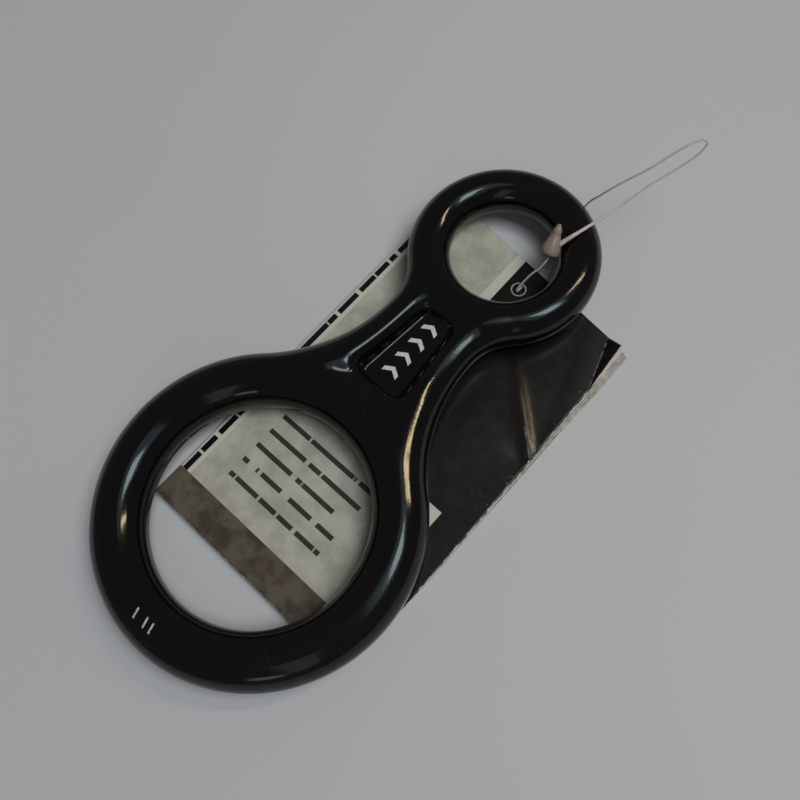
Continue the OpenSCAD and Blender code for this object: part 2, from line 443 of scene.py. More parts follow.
@dataclass(frozen=True)
class PrintedCover:
    """Silk-coated cover paper with a plain block print, worn along its edges and creases, and a painted
    sheen beside the corner's crease.
    """

    leaflet: "Leaflet"
    ground: Colour = (0.425, 0.415, 0.35)
    dusk: Colour = (0.315, 0.31, 0.26)
    pale: Colour = (0.50, 0.49, 0.43)
    ink: Colour = (0.0062, 0.0055, 0.0052)
    smoke: Colour = (0.0125, 0.0105, 0.0095)
    umber: Colour = (0.052, 0.041, 0.031)
    loam: Colour = (0.10, 0.085, 0.066)
    core: Colour = (0.50, 0.48, 0.42)
    fluff: Colour = (0.36, 0.345, 0.30)
    # colour of the painted sheen beside the corner's crease
    painted_sheen: Colour = (0.034, 0.032, 0.034)
    gloss: Span = (0.17, 0.25)
    row_pitch: float = 4.6
    rows_at: Line = ((-14.5, 15.0), (0.0, 22.54))
    margin_x: float = -21.5
    dash_span: Span = (-24.4, -22.2)
    dash_pitch: float = 2.6
    dash_x: float = -24.6
    foot_h: float = 8.5
    frame_at: Point = (0.6, 25.4, 27.5)
    block_at: Point = (3.3, 28.1, 29.7)

    def print_colour(self, t: Tree, place: Socket) -> Socket:
        """Paints the print: rows of bars, a dashed margin, a dark foot and a framed dark block.

        Args:
            t: The material's nodes.
            place: Place on the leaf, in millimetres.

        Returns:
            The colour.
        """
        x, y, _ = t.split(place)
        mottle = t.grain(place, 0.16, 6.0, 0.62)
        colour = t.blend(t.step(mottle, 0.34, 0.66), self.ground, self.dusk)
        rows = t.both(t.bars(x, y, self.row_pitch, 0.62), t.area(x, y, self.rows_at))
        colour = t.blend(t.times(rows, 0.92), colour, self.ink)
        colour = t.blend(t.short(x, self.margin_x), colour, self.pale)
        dashes = t.bars(y, t.minus(x, self.dash_x), self.dash_pitch, 0.72)
        dashes = t.both(dashes, t.within(x, *self.dash_span))
        colour = t.blend(dashes, colour, self.ink)
        foot = t.short(y, self.leaflet.foot_y / MM + self.foot_h)
        earth = t.blend(t.step(mottle, 0.36, 0.6), self.umber, self.loam)
        colour = t.blend(foot, colour, earth)
        framed, block = (
            t.either(t.both(t.past(x, left), t.past(y, low)), t.past(x, strip))
            for left, low, strip in (self.frame_at, self.block_at)
        )
        colour = t.blend(framed, colour, self.pale)
        tone = t.blend(t.step(t.grain(place, 0.05, 4.0), 0.4, 0.7), self.ink, self.smoke)
        return t.blend(block, colour, tone)

    def wear(self, t: Tree, place: Socket) -> Socket:
        """Mask of where the print is worn down to the paper.

        Args:
            t: The material's nodes.
            place: Place on the leaf, in millimetres.

        Returns:
            The mask.
        """
        x, y, _ = t.split(place)
        leaf = self.leaflet
        coarse = t.minus(t.grain(place, 0.55, 5.0, 0.62), 0.5)
        free_x = leaf.free_x(LeafRole.FRONT) / MM
        foot_y, length = leaf.foot_y / MM, leaf.leaf_l / MM
        low, high = (foot_y + share * length for share in leaf.skew_span)
        edge_x = t.step(y, low, high, free_x + leaf.edge_skews[0] / MM, free_x)
        inset = t.minus(edge_x, x)
        edge = t.step(t.plus(inset, t.times(coarse, 1.6)), 0.05, 0.32, 1.0, 0.0)
        below = t.minus(y, foot_y)
        foot = t.step(t.plus(below, t.times(coarse, 0.5)), 0.03, 0.16, 1.0, 0.0)
        rubbed = t.plus(inset, t.times(t.grain(place, 0.09, 2.0), -9.0))
        spots = t.step(t.grain(place, 1.3, 6.0, 0.75), 0.61, 0.68)
        patches = t.both(spots, t.step(rubbed, -3.6, -1.6, 1.0, 0.0))
        flecks = t.step(t.grain(place, 1.1, 6.0, 0.75), 0.69, 0.74)
        hairs = t.step(t.grain(t.place(34.0, (0.06, 1.7, 1.0)), 1.0, 3.0), 0.72, 0.77)
        _, corner_across = t.line_space(x, y, leaf.crease)
        corner = t.within(corner_across, -0.14, 0.14, 0.12)
        edge_along, edge_across = t.line_space(x, y, leaf.ridge_line)
        crease = t.both(t.within(edge_across, -0.13, 0.13, 0.12), t.within(edge_along, -0.5, 7.5, 0.4))
        cracked = t.both(t.either(corner, crease), t.step(t.grain(place, 0.8, 4.0), 0.36, 0.62))
        dx, dy = t.minus(x, leaf.punch[0] / MM), t.minus(y, leaf.punch[1] / MM)
        reach = t.calc("SQRT", t.plus(t.times(dx, dx), t.times(dy, dy)))
        burr = t.step(t.plus(reach, coarse), 1.85, 2.0, 0.7, 0.0)
        shares = ((patches, 0.5), (flecks, 0.35), (hairs, 0.1), (cracked, 0.4))
        return t.either(edge, foot, burr, t.either(*(t.times(*pair) for pair in shares)))

    def make(self) -> Material:
        """Returns the material."""
        t = Tree("printed_cover")
        place = t.place()
        x, y, _ = t.split(place)
        fibre = t.grain(place, 2.4, 5.0, 0.6)
        bare = self.wear(t, place)
        # Painted sheen: a lighter band beside the corner's crease stands in for the gloss that the bent
        # card shows there.
        _, beside = t.line_space(x, y, self.leaflet.crease)
        crease_sheen = t.both(t.step(beside, -6.5, -0.5), t.step(beside, -0.1, 0.1, 0.5, 0.0))
        colour = t.blend(crease_sheen, self.print_colour(t, place), self.painted_sheen)
        t.surface(Base_Color=t.blend(bare, colour, t.blend(fibre, self.core, self.fluff)))
        silk = t.step(t.grain(place, 0.3, 5.0, 0.62), *SPREAD, *self.gloss)
        t.surface(Roughness=t.plus(silk, t.times(bare, 0.4)), IOR=1.45)
        relief = t.minus(t.times(fibre, 0.5), t.times(bare, 0.5))
        t.surface(Normal=t.bump(relief, 0.3, 0.05 * MM))
        return t.material


@dataclass(frozen=True)
class BackCover:
    """Outer face of the back leaf: the same paper with a pale ground and two dark bands."""

    ground: Colour = (0.47, 0.46, 0.41)
    ink: Colour = (0.0125, 0.0112, 0.0105)
    shade: Colour = (0.40, 0.39, 0.34)
    scuff: Colour = (0.52, 0.50, 0.45)
    bands: Line = ((8.0, 26.0), (28.0, 29.2))
    gloss: Span = (0.34, 0.46)

    def make(self) -> Material:
        """Returns the material."""
        t = Tree("back_cover")
        place = t.place()
        _, y, _ = t.split(place)
        mottle = t.grain(place, 0.2, 6.0, 0.6)
        fibre = t.grain(place, 2.4, 5.0, 0.6)
        colour = t.blend(t.step(mottle, *SPREAD), self.ground, self.shade)
        bands = t.either(*(t.within(y, *band) for band in self.bands))
        colour = t.blend(bands, colour, self.ink)
        scuffs = t.step(t.grain(place, 0.7, 6.0, 0.7), 0.63, 0.70)
        t.surface(Base_Color=t.blend(t.times(scuffs, 0.5), colour, self.scuff))
        t.surface(Roughness=t.step(mottle, *SPREAD, *self.gloss), IOR=1.48)
        t.surface(Normal=t.bump(fibre, 0.3, 0.05 * MM))
        return t.material


@dataclass(frozen=True)
class PlainPaper:
    """Uncoated paper, a little dirty, with painted shade along each leaf's free edge; an inner page also
    has rows of grey bars and a dark panel.
    """

    name: str
    printed: bool
    edge_xs: tuple[float, ...]
    clean: Colour = (0.52, 0.505, 0.45)
    dirty: Colour = (0.33, 0.31, 0.26)
    # painted shade: a dark band at each leaf's free edge, standing in for the shaded gaps between the
    # stacked leaves
    painted_edge_shade: Colour = (0.10, 0.09, 0.075)
    painted_edge_span: Span = (-0.16, 0.1)
    grey: Colour = (0.16, 0.155, 0.15)
    ink: Colour = (0.010, 0.0095, 0.009)
    gloss: Span = (0.72, 0.9)
    row_pitch: float = 4.2
    rows_at: Line = ((-17.0, 31.0), (-4.2, 71.4))
    panel_at: Line = ((-17.0, 24.0), (76.0, 87.0))

    def make(self) -> Material:
        """Returns the material."""
        t = Tree(self.name)
        place = t.place()
        x, y, _ = t.split(place)
        fibre = t.grain(place, 3.0, 5.0, 0.65)
        stain = t.step(t.grain(place, 0.35, 5.0, 0.6), 0.46, 0.72)
        colour = t.blend(stain, self.clean, self.dirty)
        # Painted shade along each leaf's free edge, for the shaded gaps between the stacked leaves.
        low, high = self.painted_edge_span
        edges = t.either(*(t.within(x, edge + low, edge + high, 0.05) for edge in self.edge_xs))
        edge_shade_mask = t.both(edges, t.step(t.grain(place, 0.5, 4.0), 0.3, 0.6, 0.25, 0.85))
        colour = t.blend(edge_shade_mask, colour, self.painted_edge_shade)
        if self.printed:
            rows = t.both(t.bars(x, y, self.row_pitch, 0.6), t.area(x, y, self.rows_at))
            # A dark panel on the inner page, under the front leaf's punched hole, so that the hole shows
            # dark.
            panel = t.area(x, y, self.panel_at)
            colour = t.blend(panel, t.blend(rows, colour, self.grey), self.ink)
        t.surface(Base_Color=colour)
        t.surface(Roughness=t.step(fibre, *SPREAD, *self.gloss), IOR=1.45)
        t.surface(Normal=t.bump(fibre, 0.5, 0.06 * MM))
        return t.material


@dataclass(frozen=True)
class PaleFloor:
    """Plain pale surface under the object."""

    tone: Colour = (0.485, 0.49, 0.50)
    shade: Colour = (0.465, 0.47, 0.48)

    def make(self) -> Material:
        """Returns the material."""
        t = Tree("pale_floor")
        cloud = t.grain(t.place(), 0.004, 3.0)
        t.surface(Base_Color=t.blend(t.step(cloud, *SPREAD), self.tone, self.shade))
        t.surface(Roughness=0.62)
        return t.material


@dataclass
class Descender:
    """The forging: two round rings, a neck with a bead along each side and a recess in each face."""

    big_od: float = 76.8 * MM
    big_section: float = 13 * MM
    small_od: float = 47.6 * MM
    small_section: float = 10.6 * MM
    eye_spacing: float = 85.4 * MM
    waist_w: float = 25.4 * MM
    waist_y: float = 58.5 * MM
    bead_half_w: float = 4.55 * MM
    bead_half_h: float = 4.65 * MM
    widen_share: float = 0.45
    rise_share: float = 0.8
    web_t: float = 9 * MM
    floor_t: float = 3 * MM
    panel_big_w: float = 11 * MM
    panel_small_w: float = 7.4 * MM
    panel_y: float = 40 * MM
    panel_l: float = 21 * MM
    panel_r: float = 1.6 * MM
    wall_slope: float = 0.62
    trim_depth: float = 0.08 * MM
    blend_neck: float = 1.6 * MM
    blend_web: float = 1.0 * MM
    blend_rim: float = 1.5 * MM
    blend_floor: float = 0.35 * MM
    blend_trim: float = 0.12 * MM
    least_blend: float = 0.02
    least_slope: float = 0.05
    nudge: float = 0.02 * MM
    weld: float = 0.002 * MM
    cell: float = 0.44 * MM
    relax_rounds: int = 4

    def side_arc(self, ring_r: float, reach: float) -> float:
        """Radius of the arc that leaves a ring of a given radius and stands upright at the waist."""
        waist_r = self.waist_w / 2
        return (reach**2 / (ring_r - waist_r) - (ring_r + waist_r)) / 2

    def ring(self, p: np.ndarray, centre_y: float, od: float, section: float) -> np.ndarray:
        """Distances of points to a round ring.

        Args:
            p: Points as rows.
            centre_y: Place of the ring's centre.
            od: Its outer diameter.
            section: Diameter of its section.

        Returns:
            The signed distances.
        """
        track = (od - section) / 2
        flat = np.hypot(p[:, 0], p[:, 1] - centre_y) - track
        return np.hypot(flat, p[:, 2]) - section / 2

    def neck(self, p: np.ndarray) -> tuple[np.ndarray, np.ndarray, np.ndarray]:
        """Distances of points to the neck's beads and to the web between them.

        The beads widen to a ring's own section where they run into it.

        Args:
            p: Points as rows.

        Returns:
            The signed distances to the beads and to the web, and the points' shares of the way to a ring.
        """
        waist_r = self.waist_w / 2
        small_reach = self.eye_spacing - self.waist_y
        big_arc = self.side_arc(self.big_od / 2, self.waist_y)
        small_arc = self.side_arc(self.small_od / 2, small_reach)
        big_x, small_x = waist_r + big_arc, waist_r + small_arc
        big_sweep = math.atan2(self.waist_y, big_x)
        small_sweep = math.atan2(small_reach, small_x)
        x, y, z = np.abs(p[:, 0]), p[:, 1], np.abs(p[:, 2])
        low = y < self.waist_y
        arc = np.where(low, big_arc, small_arc)
        centre_x = waist_r + arc
        angle = np.clip(np.arctan2(self.waist_y - y, centre_x - x), -small_sweep, big_sweep)
        share = np.abs(angle) / np.where(low, big_sweep, small_sweep)
        section_r = np.where(low, self.big_section, self.small_section) / 2
        half_w = self.bead_half_w + (section_r - self.bead_half_w) * eased(share / self.widen_share)
        half_h = self.bead_half_h + (section_r - self.bead_half_h) * eased(share / self.rise_share)
        line_r = arc + half_w
        away = np.hypot(x - centre_x + line_r * np.cos(angle), y - self.waist_y + line_r * np.sin(angle))
        beads = (np.hypot(away / half_w, z / half_h) - 1) * half_w
        far_y = self.eye_spacing - y
        plan = np.maximum.reduce([
            line_r - np.hypot(centre_x - x, self.waist_y - y),
            (self.big_od - self.big_section) / 2 - np.hypot(x, y),
            (self.small_od - self.small_section) / 2 - np.hypot(x, far_y),
            (x * self.waist_y - y * big_x) / math.hypot(big_x, self.waist_y),
            (x * small_reach - far_y * small_x) / math.hypot(small_x, small_reach),
        ])
        web = smooth_most(plan, z - self.web_t / 2, self.blend_rim)
        return beads, web, share

    def forging(self, p: np.ndarray) -> np.ndarray:
        """Signed distances of points to the forging before it is trimmed and recessed."""
        rings = np.minimum(
            self.ring(p, 0.0, self.big_od, self.big_section),
            self.ring(p, self.eye_spacing, self.small_od, self.small_section),
        )
        beads, web, share = self.neck(p)
        crotch = self.blend_neck * np.clip(2 * (1 - share), self.least_blend, 1.0)
        return smooth_least(smooth_least(rings, beads, crotch), web, self.blend_web)

    def recess(self, p: np.ndarray) -> np.ndarray:
        """Signed distances of points to the space above each face's recessed panel."""
        share = np.clip((p[:, 1] - self.panel_y) / self.panel_l, 0, 1)
        half_w = (self.panel_big_w + (self.panel_small_w - self.panel_big_w) * share) / 2
        far_y = self.panel_y + self.panel_l
        across = np.abs(p[:, 0]) - half_w + self.panel_r
        along = np.maximum(self.panel_y - p[:, 1], p[:, 1] - far_y) + self.panel_r
        outside = np.hypot(np.maximum(across, 0), np.maximum(along, 0))
        plan = outside + np.minimum(np.maximum(across, along), 0) - self.panel_r
        height = np.abs(p[:, 2]) - self.floor_t / 2
        wall = (plan - self.wall_slope * height) / math.hypot(1, self.wall_slope)
        return smooth_most(wall, -height, self.blend_floor)

    def distance(self, p: np.ndarray) -> np.ndarray:
        """Signed distances of points to the finished forging."""
        flat = p * np.array([1.0, 1.0, 0.0])
        trimmed = smooth_most(self.forging(p), self.forging(flat) + self.trim_depth, self.blend_trim)
        return smooth_most(trimmed, -self.recess(p), self.blend_rim)

    def slope(self, p: np.ndarray) -> np.ndarray:
        """Gradient of the distance at points, as rows."""
        nudges = self.nudge * np.eye(3)
        rows = [self.distance(p + nudge) - self.distance(p - nudge) for nudge in nudges]
        return np.stack(rows, axis=1) / (2 * self.nudge)

    def settle(self, mesh: Mesh) -> None:
        """Moves a mesh's vertices onto the finished forging's surface."""
        p = vertex_array(mesh)
        for _ in range(self.relax_rounds):
            slope = self.slope(p)
            size = np.maximum((slope**2).sum(axis=1), self.least_slope)
            p -= slope * (self.distance(p) / size)[:, None]
        mesh.vertices.foreach_set("co", p.ravel())
        mesh.update()

    def relax(self, mesh: Mesh) -> None:
        """Evens out a mesh's cells and settles it again."""
        for _ in range(self.relax_rounds):
            form = bmesh.new()
            form.from_mesh(mesh)
            bmesh.ops.smooth_vert(
                form, verts=form.verts, factor=0.5, use_axis_x=True, use_axis_y=True, use_axis_z=True
            )
            form.to_mesh(mesh)
            form.free()
            self.settle(mesh)

    def build(self, finish: Material) -> Object:
        """Makes the forging's smooth mesh round its CAD solid.

        Args:
            finish: Its material.

        Returns:
            The piece.
        """
        form = bmesh.new()
        form.from_mesh(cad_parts["descender_body"].data)
        bmesh.ops.remove_doubles(form, verts=form.verts, dist=self.weld)
        piece = new_piece("descender", form, [finish])
        apply_modifier(piece, "REMESH", mode="VOXEL", voxel_size=self.cell, use_smooth_shade=True)
        self.settle(piece.data)
        self.relax(piece.data)
        piece.data.shade_smooth()
        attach(piece, "descender")
        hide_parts("descender_body")
        return piece


@dataclass
class RecessMarks:
    """Row of raised white chevrons on the recess's floor, pointing to the small eye."""

    floor_z: float = 1.5 * MM
    first_y: float = 43.2 * MM
    pitch: float = 4.6 * MM
    count: int = 4
    half_w: float = 2.1 * MM
    rise: float = 1.3 * MM
    stroke: float = 1.25 * MM
    proud: float = 0.16 * MM
    edge_r: float = 0.07 * MM

    def chevron(self, form: Form, y: float) -> None:
        """Adds one chevron.

        Args:
            form: The bmesh that it is added to.
            y: Place of its open end.
        """
        z = self.floor_z - self.proud
        lower = [(-self.half_w, y), (0.0, y + self.rise), (self.half_w, y)]
        upper = [(px, py + self.stroke) for px, py in reversed(lower)]
        face = form.faces.new([form.verts.new((px, py, z)) for px, py in lower + upper])
        lifted = bmesh.ops.extrude_face_region(form, geom=[face])["geom"]
        tops = [v for v in lifted if isinstance(v, Vert)]
        bmesh.ops.translate(form, verts=tops, vec=(0.0, 0.0, 2 * self.proud))

    def build(self, finish: Material) -> Object:
        """Makes the row of chevrons.

        Args:
            finish: Their material.

        Returns:
            The piece.
        """
        form = bmesh.new()
        for i in range(self.count):
            self.chevron(form, self.first_y + i * self.pitch)
        bmesh.ops.recalc_face_normals(form, faces=form.faces)
        edges = [e for e in form.edges if all(v.co.z > self.floor_z for v in e.verts)]
        bmesh.ops.bevel(
            form, geom=edges, offset=self.edge_r, segments=3, profile=0.5, affect="EDGES", material=-1
        )
        piece = new_piece("recess_marks", form, [finish])
        piece.data.shade_flat()
        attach(piece, "descender")
        return piece


@dataclass
class TagLoop:
    """The nylon loop: a filament that leaves its socket as a strap and comes back as a barbed tip."""

    diameter: float = 0.0005
    strap_d: float = 0.0014
    taper_points: int = 4
    length: float = 0.1193
    socket_d: float = 4.8 * MM
    socket_h: float = 5.4 * MM
    socket_bore: float = 1.6 * MM
    barb_r: float = 1.15 * MM
    tip_reach: float = 2.4 * MM
    lip: float = 0.12 * MM
    play: float = 0.05 * MM
    shank_z: float = 1.4 * MM
    nose: float = 0.1 * MM
    weld: float = 0.005 * MM
    foot: Point = (0.00903, 0.0911, 0.00251)
    lean: float = 56.0
    turn: float = 108.0
    round_steps: int = 4
    curve_steps: int = 8
    profile_steps: int = 4
    turned_steps: int = 40
    socket_profile: Profile = (
        (0.0, 0.7), (0.07, 0.92), (0.25, 1.0), (0.5, 0.88), (0.77, 0.67), (1.0, 0.53),
    )
    barb_profile: Profile = ((0.0, 1.0), (0.4, 0.92), (0.85, 0.5), (1.0, 0.26))
    route: tuple[Point, ...] = (
        (0.00941, 0.09358, 0.00392), (0.01029, 0.0955, 0.00519), (0.01135, 0.09795, 0.00617),
        (0.01312, 0.10417, 0.00629), (0.01504, 0.11007, 0.00726), (0.0176, 0.117, 0.0105),
        (0.0208, 0.123, 0.014), (0.0226, 0.1266, 0.0168), (0.0228, 0.1287, 0.0186),
        (0.0212, 0.128, 0.0192), (0.0188, 0.1242, 0.0174), (0.0156, 0.1188, 0.0134),
        (0.0116, 0.114, 0.0088), (0.00889, 0.11147, 0.00454), (0.0067, 0.11019, 0.00021),
        (0.006, 0.10805, -0.00415), (0.00625, 0.1043, -0.00662), (0.0066, 0.1004, -0.0073),
        (0.0069, 0.09475, -0.0073), (0.0069, 0.0887, -0.0073), (0.0069, 0.0847, -0.0073),
        (0.0069, 0.0829, -0.0067), (0.0069, 0.0827, -0.0057), (0.00712, 0.08405, -0.0043),
        (0.00786, 0.08648, -0.00203), (0.00891, 0.08844, 0.0), (0.00932, 0.09021, 0.00174),
        (0.00894, 0.09149, 0.00277),
    )

    def filament(self, finish: Material) -> Object:
        """Makes the filament as one curve along its route, thick at the strap's root.

        Args:
            finish: Its material.

        Returns:
            The piece.
        """
        line = bpy.data.curves.new("loop_filament_line", "CURVE")
        line.dimensions = "3D"
        line.bevel_depth = self.diameter / 2
        line.bevel_resolution = self.round_steps
        line.resolution_u = self.curve_steps
        line.use_fill_caps = True
        spline = line.splines.new("BEZIER")
        points = [Vector(p) for p in self.route]
        last = len(points) - 1
        spline.bezier_points.add(last)
        for i, knot in enumerate(spline.bezier_points):
            reach = (points[min(last, i + 1)] - points[max(0, i - 1)]) / 6
            knot.co = points[i]
            knot.handle_left_type = knot.handle_right_type = "FREE"
            knot.handle_left = points[i] - reach
            knot.handle_right = points[i] + reach
            share = max(0.0, 1 - i / self.taper_points)
            knot.radius = 1 + (self.strap_d / self.diameter - 1) * share
        line.materials.append(finish)
        piece = linked("filament", line)
        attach(piece, "tag_loop")
        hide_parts("loop_filament")
        return piece

    def swell(self, profile: Profile, radius: float, foot: float, height: float) -> list[Span]:
        """Outline of a smooth swelling about the lock's axis, as radius and height."""
        return [(p.y * radius, foot + p.x * height) for p in curve_points(profile, self.profile_steps)]

    def turned(self, name: str, outline: Sequence[Span], finish: Material) -> Object:
        """Turns an outline about the lock's axis and puts it in place.

        Args:
            name: The piece's name.
            outline: Points of the outline, as radius and height.
            finish: The piece's material.

        Returns:
            The piece.
        """
        form = bmesh.new()
        knots = [form.verts.new((r, 0.0, h)) for r, h in outline]
        edges = [form.edges.new(pair) for pair in zip(knots, knots[1:])]
        bmesh.ops.spin(
            form, geom=knots + edges, cent=(0, 0, 0), axis=(0, 0, 1), angle=math.tau,
            steps=self.turned_steps, use_merge=True,
        )
        bmesh.ops.remove_doubles(form, verts=form.verts, dist=self.weld)
        bmesh.ops.recalc_face_normals(form, faces=form.faces)
        lean = Matrix.Rotation(math.radians(self.lean), 4, "Y")
        turn = Matrix.Rotation(math.radians(self.turn), 4, "Z")
        bmesh.ops.transform(form, matrix=Matrix.Translation(self.foot) @ turn @ lean, verts=form.verts)
        return new_piece(name, form, [finish])

    def socket(self, finish: Material) -> Object:
        """Makes the drop-shaped socket with its bore.

        Args:
            finish: Its material.

        Returns:
            The piece.
        """
        bore, top, lip = self.socket_bore / 2, self.socket_h, self.lip
        outline = self.swell(self.socket_profile, self.socket_d / 2, 0.0, top)
        outline += [(bore + lip, top), (bore, top - lip), (bore, lip), (bore + lip, 0.0)]
        piece = self.turned("lock_socket_drop", outline + outline[:1], finish)
        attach(piece, "tag_loop")
        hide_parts("lock_socket")
        return piece

    def tip(self, finish: Material) -> Object:
        """Makes the barbed tip with its shank.

        Args:
            finish: Its material.

        Returns:
            The piece.
        """
        shank = self.socket_bore / 2 - self.play
        barb_z = self.socket_h + self.play
        barb = self.swell(self.barb_profile, self.barb_r, barb_z, self.tip_reach)
        outline = [(0.0, self.shank_z), (shank, self.shank_z), (shank, barb_z), *barb]
        outline.append((0.0, barb_z + self.tip_reach + self.nose))
        piece = self.turned("lock_tip_barb", outline, finish)
        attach(piece, "tag_loop")
        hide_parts("lock_tip")
        return piece

    def build(self, clear: Material, milky: Material) -> list[Object]:
        """Args:
            clear: Material of the filament.
            milky: Material of the lock.

        Returns:
            The pieces.
        """
        filament = self.filament(clear)
        lock = [self.socket(milky), self.tip(milky)]
        return [filament, *lock]


class LeafRole(Enum):
    """Which leaf of the leaflet a sheet is."""

    FRONT = "front"
    INNER_A = "inner_a"
    INNER_B = "inner_b"
    BACK = "back"

    @property
    def order(self) -> int:
        """Number of the leaf, from the top."""
        return list(LeafRole).index(self)


@dataclass
class Leaflet:
    """The folded leaflet: a cover of two leaves round two inner leaves."""

    fold_x: float = -24.1 * MM
    foot_y: float = -12.8 * MM
    leaf_w: float = 60.8 * MM
    leaf_l: float = 106.8 * MM
    slant: float = 7 * MM
    leaf_step: float = 0.5 * MM
    inner_inset: float = 1.2 * MM
    thicks: tuple[float, ...] = (0.25 * MM, 0.2 * MM, 0.2 * MM, 0.25 * MM)
    tops: tuple[float, ...] = (-6.65 * MM, -7.7 * MM, -8.05 * MM, -8.4 * MM)
    spine_r: float = 1.0 * MM
    seam: float = 0.04 * MM
    punch: Span = (6.9 * MM, 83.5 * MM)
    punch_r: float = 1.6 * MM
    punch_l: float = 6 * MM
    punch_steps: int = 48
    fine_grid: tuple[int, int] = (124, 200)
    plain_grid: tuple[int, int] = (60, 100)
    spine_columns: int = 6
    crease: Line = ((36.0 * MM, 74.7 * MM), (31.6 * MM, 88.05 * MM))
    crease_bend: float = 38.0
    crease_r: float = 0.5 * MM
    crease_rise: float = 0.22 * MM
    crease_reach: float = 7 * MM
    sag_x: float = 14 * MM
    edge_sag: float = 0.42 * MM
    edge_skews: tuple[float, ...] = (0.8 * MM, 0.1 * MM, -0.25 * MM, -0.6 * MM)
    skew_span: Span = (0.35, 0.95)
    foot_tuck: float = 1.9 * MM
    tuck_span: Span = (0.02, 0.26)
    ridge_line: Line = ((36.5 * MM, 51.4 * MM), (18.95 * MM, 67.35 * MM))
    ridge_start: Span = (-0.4, 0.3)
    ridge_end: Span = (0.6, 1.1)
    ridge_rise: float = 0.56 * MM
    ridge_half_w: float = 1.4 * MM
    dent_at: Span = (36 * MM, 49.5 * MM)
    dent_size: Span = (5 * MM, 2.2 * MM)
    dent_depth: float = 0.28 * MM
    cockle_size: Span = (19 * MM, 26 * MM)
    cockle_seed: float = 3.7
    cockles: tuple[float, ...] = (0.0, 0.07 * MM, 0.05 * MM, 0.0)
    fray: float = 0.09 * MM
    frays: float = 60.0
    fray_seed: float = 9.0
    fray_span: Span = (0.9, 1.0)
    corner_r: float = 4.5 * MM

    def head_y(self, x: float) -> float:
        """Place of the slanted head at a place across the leaf."""
        return self.foot_y + self.leaf_l - self.slant * max(0.0, x - self.fold_x) / self.leaf_w

    def free_x(self, role: LeafRole) -> float:
        """Place of a leaf's free edge."""
        return self.fold_x + self.leaf_w + role.order * self.leaf_step

    def wrapped(self, share: float, columns: int, role: LeafRole, free_x: float) -> Span:
        """Place of a cover's column round the spine and along the leaf.

        Args:
            share: Share of the columns, from the seam to the free edge.
            columns: Their number.
            role: Which cover it is.
            free_x: Place of the free edge.

        Returns:
            The place across and the height.
        """
        spine_share = self.spine_columns / columns
        side = 1.0 if role is LeafRole.FRONT else -1.0
        centre_z = (self.tops[0] + self.tops[-1] - self.thicks[0]) / 2
        radius = self.spine_r - self.thicks[0] / 2
        start = self.seam / 2 / radius
        if share < spine_share:
            angle = start + (math.pi / 2 - start) * share / spine_share
            return self.fold_x - radius * math.cos(angle), centre_z + side * radius * math.sin(angle)
        along = (share - spine_share) / (1 - spine_share)
        return self.fold_x + along * (free_x - self.fold_x), centre_z + side * radius

    def sheet(self, role: LeafRole) -> Form:
        """Makes a leaf's middle surface as a grid.

        Args:
            role: Which leaf it is.

        Returns:
            The grid, in place.
        """
        form = bmesh.new()
        columns, rows = self.fine_grid if role is LeafRole.FRONT else self.plain_grid
        bmesh.ops.create_grid(form, x_segments=columns, y_segments=rows, size=0.5)
        start_x = self.fold_x + self.inner_inset
        middle_z = self.tops[role.order] - self.thicks[role.order] / 2
        for vert in form.verts:
            share, along = vert.co.x + 0.5, vert.co.y + 0.5
            free_x = self.free_x(role) + self.edge_skews[role.order] * (1 - ease(along, *self.skew_span))
            free_x -= self.foot_tuck * (1 - ease(along, *self.tuck_span))
            if role in (LeafRole.FRONT, LeafRole.BACK):
                x, z = self.wrapped(share, columns, role, free_x)
            else:
                x, z = start_x + share * (free_x - start_x), middle_z
            seed = Vector((along * self.frays, role.order * self.fray_seed, 0.0))
            x += self.fray * noise.noise(seed) * ease(share, *self.fray_span)
            y = self.foot_y + along * (self.head_y(x) - self.foot_y)
            vert.co = (*self.rounded(x, y, free_x), z)
        return form

    def rounded(self, x: float, y: float, free_x: float) -> Span:
        """Draws a place in the foot's free corner in, so that the corner comes out round.

        Args:
            x: Place across the leaf.
            y: Place along it.
            free_x: Place of the free edge.

        Returns:
            The place, drawn in.
        """
        out, down = x - free_x + self.corner_r, self.foot_y + self.corner_r - y
        if out <= 0 or down <= 0:
            return x, y
        near, low = out / self.corner_r, down / self.corner_r
        return (
            x - out * (1 - math.sqrt(max(0.5, 1 - low**2 / 2))),
            y + down * (1 - math.sqrt(max(0.5, 1 - near**2 / 2))),
        )

    def ridge(self, x: float, y: float) -> float:
        """Height of the soft ridge that runs from the neck to the front leaf's free edge."""
        foot, head = (Vector(end) for end in self.ridge_line)
        way = head - foot
        away = Vector((x, y)) - foot
        along = away.dot(way) / way.length_squared
        across = (way.x * away.y - way.y * away.x) / way.length
        swell = ease(along, *self.ridge_start) * (1 - ease(along, *self.ridge_end))
        return self.ridge_rise * swell * math.exp(-((across / self.ridge_half_w) ** 2))

